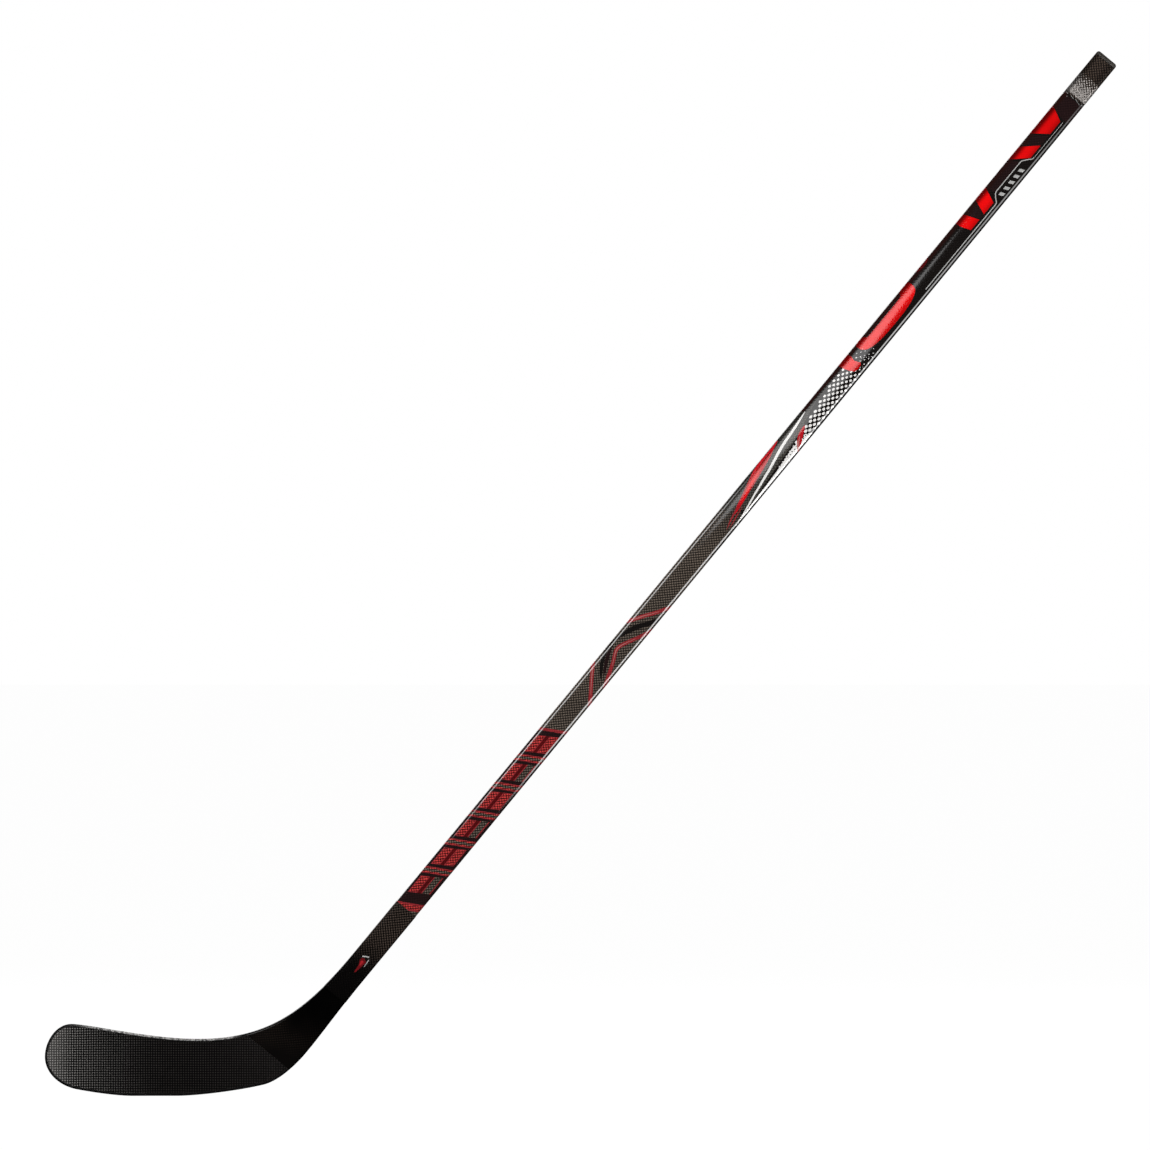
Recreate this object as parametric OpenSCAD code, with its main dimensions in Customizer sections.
// Ice hockey stick of fused composite construction.
// Frame: +Z up from the ice, +X along the blade from toe to heel, +Y away from the forehand face.
// The origin is the middle of the flat part of the blade's bottom edge, where the stick meets the ice.

/* [Stick] */
// Angle between the shaft and the ice, degrees
lie_angle = 50.5; // [49.5:0.1:51.5]
// Distance along the shaft axis from the ice plane to the butt end
axis_length = 1563.5; // [1300:0.5:1700]
// Distance in X from the ice contact to where the shaft axis meets the ice
axis_foot = 112.5; // [111:0.1:114]

/* [Shaft] */
// Width of the shaft across its wide face
shaft_width = 28.5; // [27.5:0.1:30]
// Thickness of the shaft across its narrow side
shaft_thick = 19; // [18:0.1:21]
// Outer corner radius of the shaft
shaft_corner = 3.9; // [3:0.1:5]
// Wall of the unidirectional laminate tube
laminate_wall = 0.9; // [0.7:0.1:1.2]
// Wall of the inner plies laid at plus and minus 45 degrees
bias_wall = 0.5; // [0.3:0.1:0.7]
// Thickness of the woven cover ply
weave_ply = 0.35; // [0.25:0.05:0.5]
// Thickness of the printed film and of the silver band
film = 0.15; // [0.1:0.05:0.2]
// Where the silver band starts, measured from the butt end
band_start = 32; // [28:0.5:36]
// Length of the silver band
band_len = 27; // [20:0.5:28]
// Where the printed film starts, measured from the butt end
film_start = 61; // [60:0.5:70]

/* [End cap] */
// Height of the cap outside the shaft
cap_height = 5; // [4:0.5:8]
// Depth of the plug inside the shaft
plug_len = 45; // [30:1:60]
// Running clearance around the plug
plug_gap = 0.1; // [0.08:0.01:0.15]
// Wall of the hollow plug
plug_wall = 2.4; // [1.8:0.1:3]

/* [Blade] */
// Distance from the ice contact to the toe
toe_reach = 127.8; // [120:0.1:135]
// Height of the toe's foremost point
toe_z = 46; // [42:0.5:50]
// Height of the blade's crest behind the toe
crest_z = 83.8; // [80:0.1:88]
// Height of the blade's top edge at its waist
waist_z = 66.3; // [63:0.1:70]
// Half length of the flat part of the bottom edge
flat_half = 25; // [20:1:30]
// Half thickness of the blade at the toe
toe_half_thick = 2.5; // [2:0.1:3]
// Half thickness of the blade at the heel seam
heel_half_thick = 4; // [3.5:0.1:4.5]
// How far the toe curves towards the forehand side
curve_depth = 20; // [10:1:28]
// Where along X the curve begins
curve_start = 25; // [18:1:60]
// How far the face opens at the toe, degrees
open_angle = 5; // [0:1:8]
// Thickness of each woven face skin
skin = 0.9; // [0.7:0.1:1.1]
// Width of the rim band around the blade
rim = 3; // [2.5:0.1:4]
// Half width of the stiffening rib, as a share of the blade's height
rib_share = 0.022; // [0.015:0.001:0.03]

/* [Hosel] */
// Distance along the shaft axis from the ice plane to the heel seam
seam_d = 51; // [50:0.5:54]
// Where the hosel reaches the full shaft section
hosel_d = 205; // [200:1:215]
// Where the foam core ends and the tenon begins
tenon_d = 130; // [110:1:150]
// Length of the tenon inside the shaft
tenon_len = 80; // [60:1:100]
// Wall of the hosel shell
hosel_wall = 1.5; // [1.2:0.1:1.8]
// Thickness of the overwrap ply
wrap_ply = 0.3; // [0.2:0.05:0.4]
// Lower end of the overwrap along the shaft axis
wrap_from = 152; // [145:1:160]

/* [Hidden] */
$fn = 48;

// X-Z frame of the shaft axis: up along it, and across it towards the toe
up = [cos(lie_angle), sin(lie_angle)];
side = [-sin(lie_angle), cos(lie_angle)];
foot = [axis_foot, 0];

// gaps between neighbouring pieces
glue = 0.05;
surface_gap = 0.02;            // under the overwrap and under the decal
tenon_gap = 0.25;              // between tenon and shaft bore
adhesive_gap_out = 0.01;
adhesive_gap_in = 0.02;
adhesive_start = 0.3;          // above the hosel's top

// depths below the shaft's outer surface
laminate_top = weave_ply + film;
bias_top = laminate_top + laminate_wall;
tube_wall = bias_wall + laminate_wall + weave_ply + film;
min_corner = 0.4;              // least corner radius of any section

tube_end = axis_length - cap_height;
cap_rounding = 3;
plug_roof = 4;                 // solid upper end of the plug
overcut = 1;

wrap_to = axis_length - 1282;  // upper end of the overwrap
wrap_straight = 12;            // above the hosel's top, where the straight part of the wrap starts
film_gap = 0.5;                // between overwrap and printed film

tenon_taper_len = 3;
tenon_taper = 1;
foam_stop_gap = 1;             // above the tenon
foam_stop_len = 30;

decal_size = [14, 30];
decal_corner = 2.5;
decal_thick = 0.12;
decal_d = 199.5;               // decal centre along the axis

// ---- edges of the blade and hosel, in the X-Z plane ----

// p holds a curve's start, two handles and end
function bezier(p, share) = let (rest = 1 - share)
    pow(rest, 3) * p[0] + 3 * share * pow(rest, 2) * p[1]
    + 3 * share * share * rest * p[2] + share * share * share * p[3];
function curve(p, steps, first = 1) = [for (i = [first:steps]) bezier(p, i / steps)];

// distance along the shaft axis and offset from it, to and from a point
function axis_point(dist, off) = foot + dist * up + off * side;
function along(point) = (point - foot) * up;
function across(point) = (point - foot) * side;

toe = [-toe_reach, toe_z];
crest = [-97, crest_z];
waist = [45, waist_z];
top_end = axis_point(hosel_d, shaft_width / 2);
toe_sole = [-90, 7.8];
heel_low = [127.2, 13.3];
heel_high = [169.5, 43.5];
back_end = axis_point(175, -shaft_width / 2);

// both run from the toe to the butt end
top_path = concat(
    curve([toe, toe + [0, 18], crest + [-18, 0.3], crest], 20, first = 0),
    curve([crest, crest + [22, -0.6], waist + [-54, 0.6], waist], 28),
    curve([waist, waist + [83, -1.5], top_end - 92 * up, top_end], 40),
    [axis_point(axis_length, shaft_width / 2)]);
bottom_path = concat(
    curve([toe, toe - [0, 18], toe_sole + [-22, 4.2], toe_sole], 20, first = 0),
    curve([toe_sole, toe_sole + [28, -5.3], [-flat_half - 15, 0], [-flat_half, 0]], 16),
    [[0, 0], [flat_half, 0]],
    curve([[flat_half, 0], [flat_half + 25, 0], heel_low - [26.7, 6.7], heel_low], 24),
    curve([heel_low, heel_low + [15, 4.4], heel_high - [12, 12.8], heel_high], 20),
    curve([heel_high, heel_high + [15.6, 17.0], back_end - 46 * up - 0.6 * side, back_end], 20),
    [axis_point(axis_length, -shaft_width / 2)]);

// arc length at each point of a path
function arc_lengths(path) = [
    for (i = 0, sum = 0; i < len(path);
         i = i + 1, sum = sum + (i < len(path) ? norm(path[i] - path[i - 1]) : 0)) sum];
top_arcs = arc_lengths(top_path);
bottom_arcs = arc_lengths(bottom_path);

// an edge is two lookup tables over arc length: X and Z
function edge_tables(path, arcs) =
    [for (axis = [0, 1]) [for (i = [0:len(path) - 1]) [arcs[i], path[i][axis]]]];
top_edge = edge_tables(top_path, top_arcs);
bottom_edge = edge_tables(bottom_path, bottom_arcs);

// arc length where an edge meets the heel seam
function seam_arc(path, arcs) =
    lookup(seam_d, [for (i = [0:len(path) - 1]) [along(path[i]), arcs[i]]]);
top_seam = seam_arc(top_path, top_arcs);
bottom_seam = seam_arc(bottom_path, bottom_arcs);

// edges as offsets from the shaft axis, over distance along it
function axis_offsets(path) = [for (point = path) [along(point), across(point)]];
top_offsets = axis_offsets(top_path);
bottom_offsets = axis_offsets(bottom_path);

// ---- blade surface ----
// span is the share of the blade's length from toe (0) to heel seam (1),
// rise is the share of its height from bottom (0) to top (1)

function unit(v) = v / norm(v);
function edge_point(edge, arc) = [lookup(arc, edge[0]), lookup(arc, edge[1])];
// turn is 1 on the top edge and -1 on the bottom one
function inward(edge, arc, turn) =
    let (v = unit(edge_point(edge, arc + 1) - edge_point(edge, max(0, arc - 1))))
    turn * [v[1], -v[0]];
// the last station lies exactly in the seam plane
function rim_point(edge, arc, turn, span, depth) =
    let (point = edge_point(edge, arc) + depth * inward(edge, arc, turn))
    span > 0.9999 ? axis_point(seam_d, across(point)) : point;
function top_rim(span, depth) = rim_point(top_edge, span * top_seam, 1, span, depth);
function bottom_rim(span, depth) = rim_point(bottom_edge, span * bottom_seam, -1, span, depth);

// 0 before the curve begins, 1 at the toe
function toe_share(x) = max(0, (curve_start - x) / (curve_start + toe_reach));
// Y of the blade's middle surface at an X-Z point
function mid_y(point) = let (share = toe_share(point[0]))
    -curve_depth * pow(share, 2) + tan(open_angle) * share * point[1];

edge_thinning = 0.14; // share of thickness lost at the edges near the toe
function half_thickness(span, rise) =
    (toe_half_thick + (heel_half_thick - toe_half_thick) * pow(span, 0.8))
    * (1 - edge_thinning * (1 - span * span) * pow(2 * rise - 1, 2));

// stations along the blade, closer together at the toe
station_count = 44;
first_span = 0.012;
stations = [for (i = [0:station_count]) first_span + (1 - first_span) * pow(i / station_count, 1.25)];

// the rib widens over rib_growth, and its piece begins past rib_piece_span
rib_start = 0.12;
rib_growth = 0.05;
rib_piece_span = 0.13;
rib_station = [for (i = [0:station_count]) if (stations[i] > rib_piece_span) i][0];
function rib_half(span) = rib_share * max(0, min(1, (span - rib_start) / rib_growth));

// rows of the face grid; the rib lies between rows 3 and 4
function row_rises(span) =
    [0, 0.16, 0.33, 0.5 - rib_half(span), 0.5 + rib_half(span), 0.67, 0.84, 1];
all_rows = [0, 7];
lower_rows = [0, 3];
rib_rows = [3, 4];
upper_rows = [4, 7];

function face_xz(span, rise) =
    let (low = bottom_rim(span, rim), high = top_rim(span, rim), height = norm(high - low) - 2 * glue)
    low + unit(high - low) * (glue + rise * height);
function face_point(span, rise, depth) = let (point = face_xz(span, rise))
    [point[0], mid_y(point) + depth(span, rise), point[1]];
function face_grid(rows, depth, first) = [
    for (k = [first:station_count])
        let (span = stations[k], rises = row_rises(span))
        [for (i = [rows[0]:rows[1]]) face_point(span, rises[i], depth)]];

// Y from the middle surface, at an inset below the forehand (-Y) or backhand (+Y) face
function front_face(inset) = function (span, rise) inset - half_thickness(span, rise);
function back_face(inset) = function (span, rise) half_thickness(span, rise) - inset;

// ---- solids from grids and rings of points ----

// two triangles a-b-c and b-d-c
function quad(a, b, c, d) = [[a, b, c], [b, d, c]];

// closed solid between two grids of points of equal size
module slab(front, back) {
    rows = len(front);
    cols = len(front[0]);
    n = rows * cols; // index of the first back point
    last = n - cols; // index of the last row
    faces = concat(
        [for (i = [0:rows - 2], j = [0:cols - 2]) let (a = i * cols + j, b = a + cols) each concat(
            quad(a, a + 1, b, b + 1),
            quad(n + a, n + b, n + a + 1, n + b + 1))],
        [for (i = [0:rows - 2]) let (a = i * cols, b = a + cols, c = b - 1, d = c + cols) each concat(
            quad(a, b, n + a, n + b),
            quad(c, n + c, d, n + d))],
        [for (j = [0:cols - 2]) let (a = last + j) each concat(
            quad(j, n + j, j + 1, n + j + 1),
            quad(a, a + 1, n + a, n + a + 1))]);
    polyhedron([for (row = concat(front, back)) each row], faces, convexity = 6);
}

// outward side faces through a stack of rings of m points each
function side_faces(rings, m) = [
    for (i = [0:rings - 2], j = [0:m - 1]) let (a = i * m + j, b = i * m + (j + 1) % m)
        each quad(a, a + m, b, b + m)];

module loft(rings) {
    m = len(rings[0]);
    last = (len(rings) - 1) * m;
    faces = concat(
        [[for (j = [0:m - 1]) j]],
        side_faces(len(rings), m),
        [[for (j = [m - 1:-1:0]) last + j]]);
    polyhedron([for (ring = rings) each ring], faces, convexity = 8);
}

module hollow_loft(outer, inner) {
    m = len(outer[0]);
    n = m * len(outer); // index of the first inner point
    last = n - m;
    faces = concat(
        side_faces(len(outer), m),
        [for (face = side_faces(len(outer), m)) [n + face[2], n + face[1], n + face[0]]],
        [for (j = [0:m - 1]) let (k = (j + 1) % m) each concat(
            quad(j, k, n + j, n + k),
            quad(last + j, n + last + j, last + k, n + last + k))]);
    polyhedron([for (ring = concat(outer, inner)) each ring], faces, convexity = 6);
}

// part of the blade between two rows of the face grid and two depth functions
module blade_piece(rows, front, back, first = 0)
    slab(face_grid(rows, front, first), face_grid(rows, back, first));

// part of the blade between the two skins
module blade_filling(rows, first = 0)
    blade_piece(rows, front_face(skin + glue), back_face(skin + glue), first);

// ---- sections across the shaft axis ----
// in the shaft frame Z runs up the axis, X towards the heel side and Y stays

module in_shaft_frame() translate([axis_foot, 0, 0]) rotate([0, 90 - lie_angle, 0]) children();

function spread(from, to, steps) = [for (i = [0:steps]) from + (to - from) * i / steps];
function smooth(x) = let (share = max(0, min(1, x))) share * share * (3 - 2 * share);

// rounded rectangle; half sizes and corner radii are [x, y] pairs
corner_points = 6;
function ring_points(dist, centre_x, half, radius) = [
    for (k = [0:3], i = [0:corner_points - 1])
        let (angle = 90 * k + 90 * i / (corner_points - 1),
             sign_x = (k == 0 || k == 3) ? 1 : -1,
             sign_y = (k < 2) ? 1 : -1)
        [centre_x + sign_x * (half[0] - radius[0]) + radius[0] * cos(angle),
         sign_y * (half[1] - radius[1]) + radius[1] * sin(angle),
         dist]];

full_thick_d = 182; // where the hosel reaches the shaft's thickness
blend_lead = 12;    // the thickness blend starts this far below the seam
blend_fade = 40;    // length over which the blend's value at the seam is taken off
corner_blend = 120; // length over which the corners turn into the shaft's
function hosel_half(dist) =
    let (growth = shaft_thick / 2 - heel_half_thick,
         blend_len = full_thick_d - seam_d + blend_lead)
    heel_half_thick + growth * smooth((dist - seam_d + blend_lead) / blend_len)
    - growth * smooth(blend_lead / blend_len) * max(0, 1 - (dist - seam_d) / blend_fade);

// outer section of the hosel, grown by grow
function hosel_ring(dist, grow) =
    let (top = lookup(dist, top_offsets),
         bottom = lookup(dist, bottom_offsets),
         half = hosel_half(dist),
         blend = smooth((dist - seam_d) / corner_blend),
         radius_x = rim + (shaft_corner - rim) * blend + grow,
         radius_y = min(half + grow - 0.02, (half - 0.6) * (1 - blend) + shaft_corner * blend + grow))
    ring_points(dist, -(top + bottom) / 2, [(top - bottom) / 2 + grow, half + grow],
                [max(min_corner, radius_x), max(min_corner, radius_y)]);
function shaft_ring(dist, grow) = let (radius = max(min_corner, shaft_corner + grow))
    ring_points(dist, 0, [shaft_width / 2 + grow, shaft_thick / 2 + grow], [radius, radius]);

module rounded_rect(width, height, radius) {
    square([width - 2 * radius, height], center = true);
    square([width, height - 2 * radius], center = true);
    for (sx = [-1, 1], sy = [-1, 1])
        translate([sx * (width / 2 - radius), sy * (height / 2 - radius)]) circle(radius);
}

module shaft_outline(inset)
    rounded_rect(shaft_width - 2 * inset, shaft_thick - 2 * inset, max(min_corner, shaft_corner - inset));

// tube between two insets, from one distance along the axis to another
module shaft_tube(outer, inner, from, to)
    in_shaft_frame() translate([0, 0, from]) linear_extrude(height = to - from)
        difference() {
            shaft_outline(outer);
            shaft_outline(inner);
        }

// ---- shaft pieces ----

// side view of the cap, with rounded upper corners
module dome(width, radius) {
    translate([-width / 2, -overcut]) square([width, cap_height - radius + overcut]);
    translate([-width / 2 + radius, 0]) square([width - 2 * radius, cap_height]);
    for (s = [-1, 1]) translate([s * (width / 2 - radius), cap_height - radius]) circle(radius);
}

// rounded button and its hollow plug
module end_cap() color("#15130f") in_shaft_frame() {
    translate([0, 0, tube_end]) intersection() {
        linear_extrude(height = cap_height) shaft_outline(film);
        rotate([90, 0, 0]) linear_extrude(height = 2 * shaft_thick, center = true)
            dome(shaft_width - 2 * film, cap_rounding);
        rotate([0, 0, 90]) rotate([90, 0, 0]) linear_extrude(height = 2 * shaft_width, center = true)
            dome(shaft_thick - 2 * film, cap_rounding);
    }
    translate([0, 0, tube_end - plug_len]) difference() {
        linear_extrude(height = plug_len) shaft_outline(tube_wall + plug_gap);
        translate([0, 0, -overcut]) linear_extrude(height = plug_len - plug_roof + overcut)
            shaft_outline(tube_wall + plug_gap + plug_wall);
    }
}

module shaft_bias_ply() color("#343435") shaft_tube(bias_top, tube_wall, hosel_d, tube_end);

module shaft_laminate() color("#2b2a2a") shaft_tube(laminate_top, bias_top, hosel_d, tube_end);

module shaft_weave() color("#1d1b19") shaft_tube(film, laminate_top, hosel_d, tube_end);

module silver_band() color("#a9abae")
    shaft_tube(0, film, axis_length - band_start - band_len, axis_length - band_start);

module graphics_film() color("#c8141a")
    shaft_tube(0, film, wrap_to + film_gap, axis_length - film_start);

// foam block in the bore above the tenon
module foam_stop() color("#e9e3d2") in_shaft_frame()
    translate([0, 0, hosel_d + tenon_len + foam_stop_gap]) linear_extrude(height = foam_stop_len)
        shaft_outline(tube_wall + glue);

// ---- hosel pieces ----

// fills the upper hosel, then runs on inside the shaft to a tapered end
module blade_tenon() color("#6f665a") in_shaft_frame() loft(concat(
    [for (dist = spread(tenon_d, hosel_d - 1, 12)) hosel_ring(dist, -hosel_wall - glue)],
    [for (dist = [hosel_d + 2 * glue, hosel_d + tenon_len - tenon_taper_len])
        shaft_ring(dist, -tube_wall - tenon_gap)],
    [shaft_ring(hosel_d + tenon_len, -tube_wall - tenon_gap - tenon_taper)]));

module tenon_adhesive() color("#d8b45a")
    shaft_tube(tube_wall + adhesive_gap_out, tube_wall + tenon_gap - adhesive_gap_in,
               hosel_d + adhesive_start, hosel_d + tenon_len - tenon_taper_len);

// ply around the joint of hosel and shaft
function wrap_rings(grow) = concat(
    [for (dist = spread(wrap_from, hosel_d, 14)) hosel_ring(dist, grow)],
    [for (dist = [hosel_d + wrap_straight, wrap_to]) shaft_ring(dist, grow)]);
module fuse_wrap() color("#211e1b") in_shaft_frame()
    hollow_loft(wrap_rings(wrap_ply), wrap_rings(surface_gap));

// on the forehand side of the overwrap
module hosel_decal() color("#c8141a") in_shaft_frame()
    translate([0, -(shaft_thick / 2 + wrap_ply + surface_gap), decal_d]) rotate([90, 0, 0])
        linear_extrude(height = decal_thick) rounded_rect(decal_size[0], decal_size[1], decal_corner);

module hosel_shell() color("#0c0c0d") in_shaft_frame() {
    dists = spread(seam_d + glue, hosel_d - glue, 26);
    hollow_loft([for (dist = dists) hosel_ring(dist, 0)],
                [for (dist = dists) hosel_ring(dist, -hosel_wall)]);
}

module hosel_core() color("#e9e3d2") in_shaft_frame()
    loft([for (dist = spread(seam_d + 2 * glue, tenon_d - 2 * glue, 14))
        hosel_ring(dist, -hosel_wall - glue)]);

// ---- blade pieces ----

module blade_front_skin() color("#26272a") blade_piece(all_rows, front_face(0), front_face(skin));

module blade_back_skin() color("#26272a") blade_piece(all_rows, back_face(skin), back_face(0));

module blade_core_lower() color("#e9e3d2") blade_filling(lower_rows);

module blade_core_upper() color("#efe9da") blade_filling(upper_rows);

module blade_stringer() color("#3a3a3c") blade_filling(rib_rows, rib_station);

// rim profile: share of the way outward, share of the half thickness
rim_profile = [[0, -1], [0.42, -0.96], [0.72, -0.82], [0.92, -0.6], [1, -0.4],
               [1, 0.4], [0.92, 0.6], [0.72, 0.82], [0.42, 0.96], [0, 1]];
function rim_ring(outer, inner, half) = [
    for (v = rim_profile) let (point = inner + v[0] * (outer - inner))
        [point[0], mid_y(point) + v[1] * half, point[1]]];

// runs from the heel seam along the top, around the toe and back along the bottom
module blade_edge_band() color("#101011") loft(concat(
    [for (k = [station_count:-1:0]) let (span = stations[k])
        rim_ring(top_rim(span, 0), top_rim(span, rim), half_thickness(span, 1))],
    [rim_ring(toe, toe + [rim, 0], half_thickness(0, 1))],
    [for (span = stations)
        rim_ring(bottom_rim(span, 0), bottom_rim(span, rim), half_thickness(span, 0))]));

end_cap();
shaft_bias_ply();
shaft_laminate();
shaft_weave();
silver_band();
graphics_film();
foam_stop();
blade_tenon();
tenon_adhesive();
fuse_wrap();
hosel_decal();
hosel_shell();
hosel_core();
blade_front_skin();
blade_back_skin();
blade_core_upper();
blade_core_lower();
blade_stringer();
blade_edge_band();
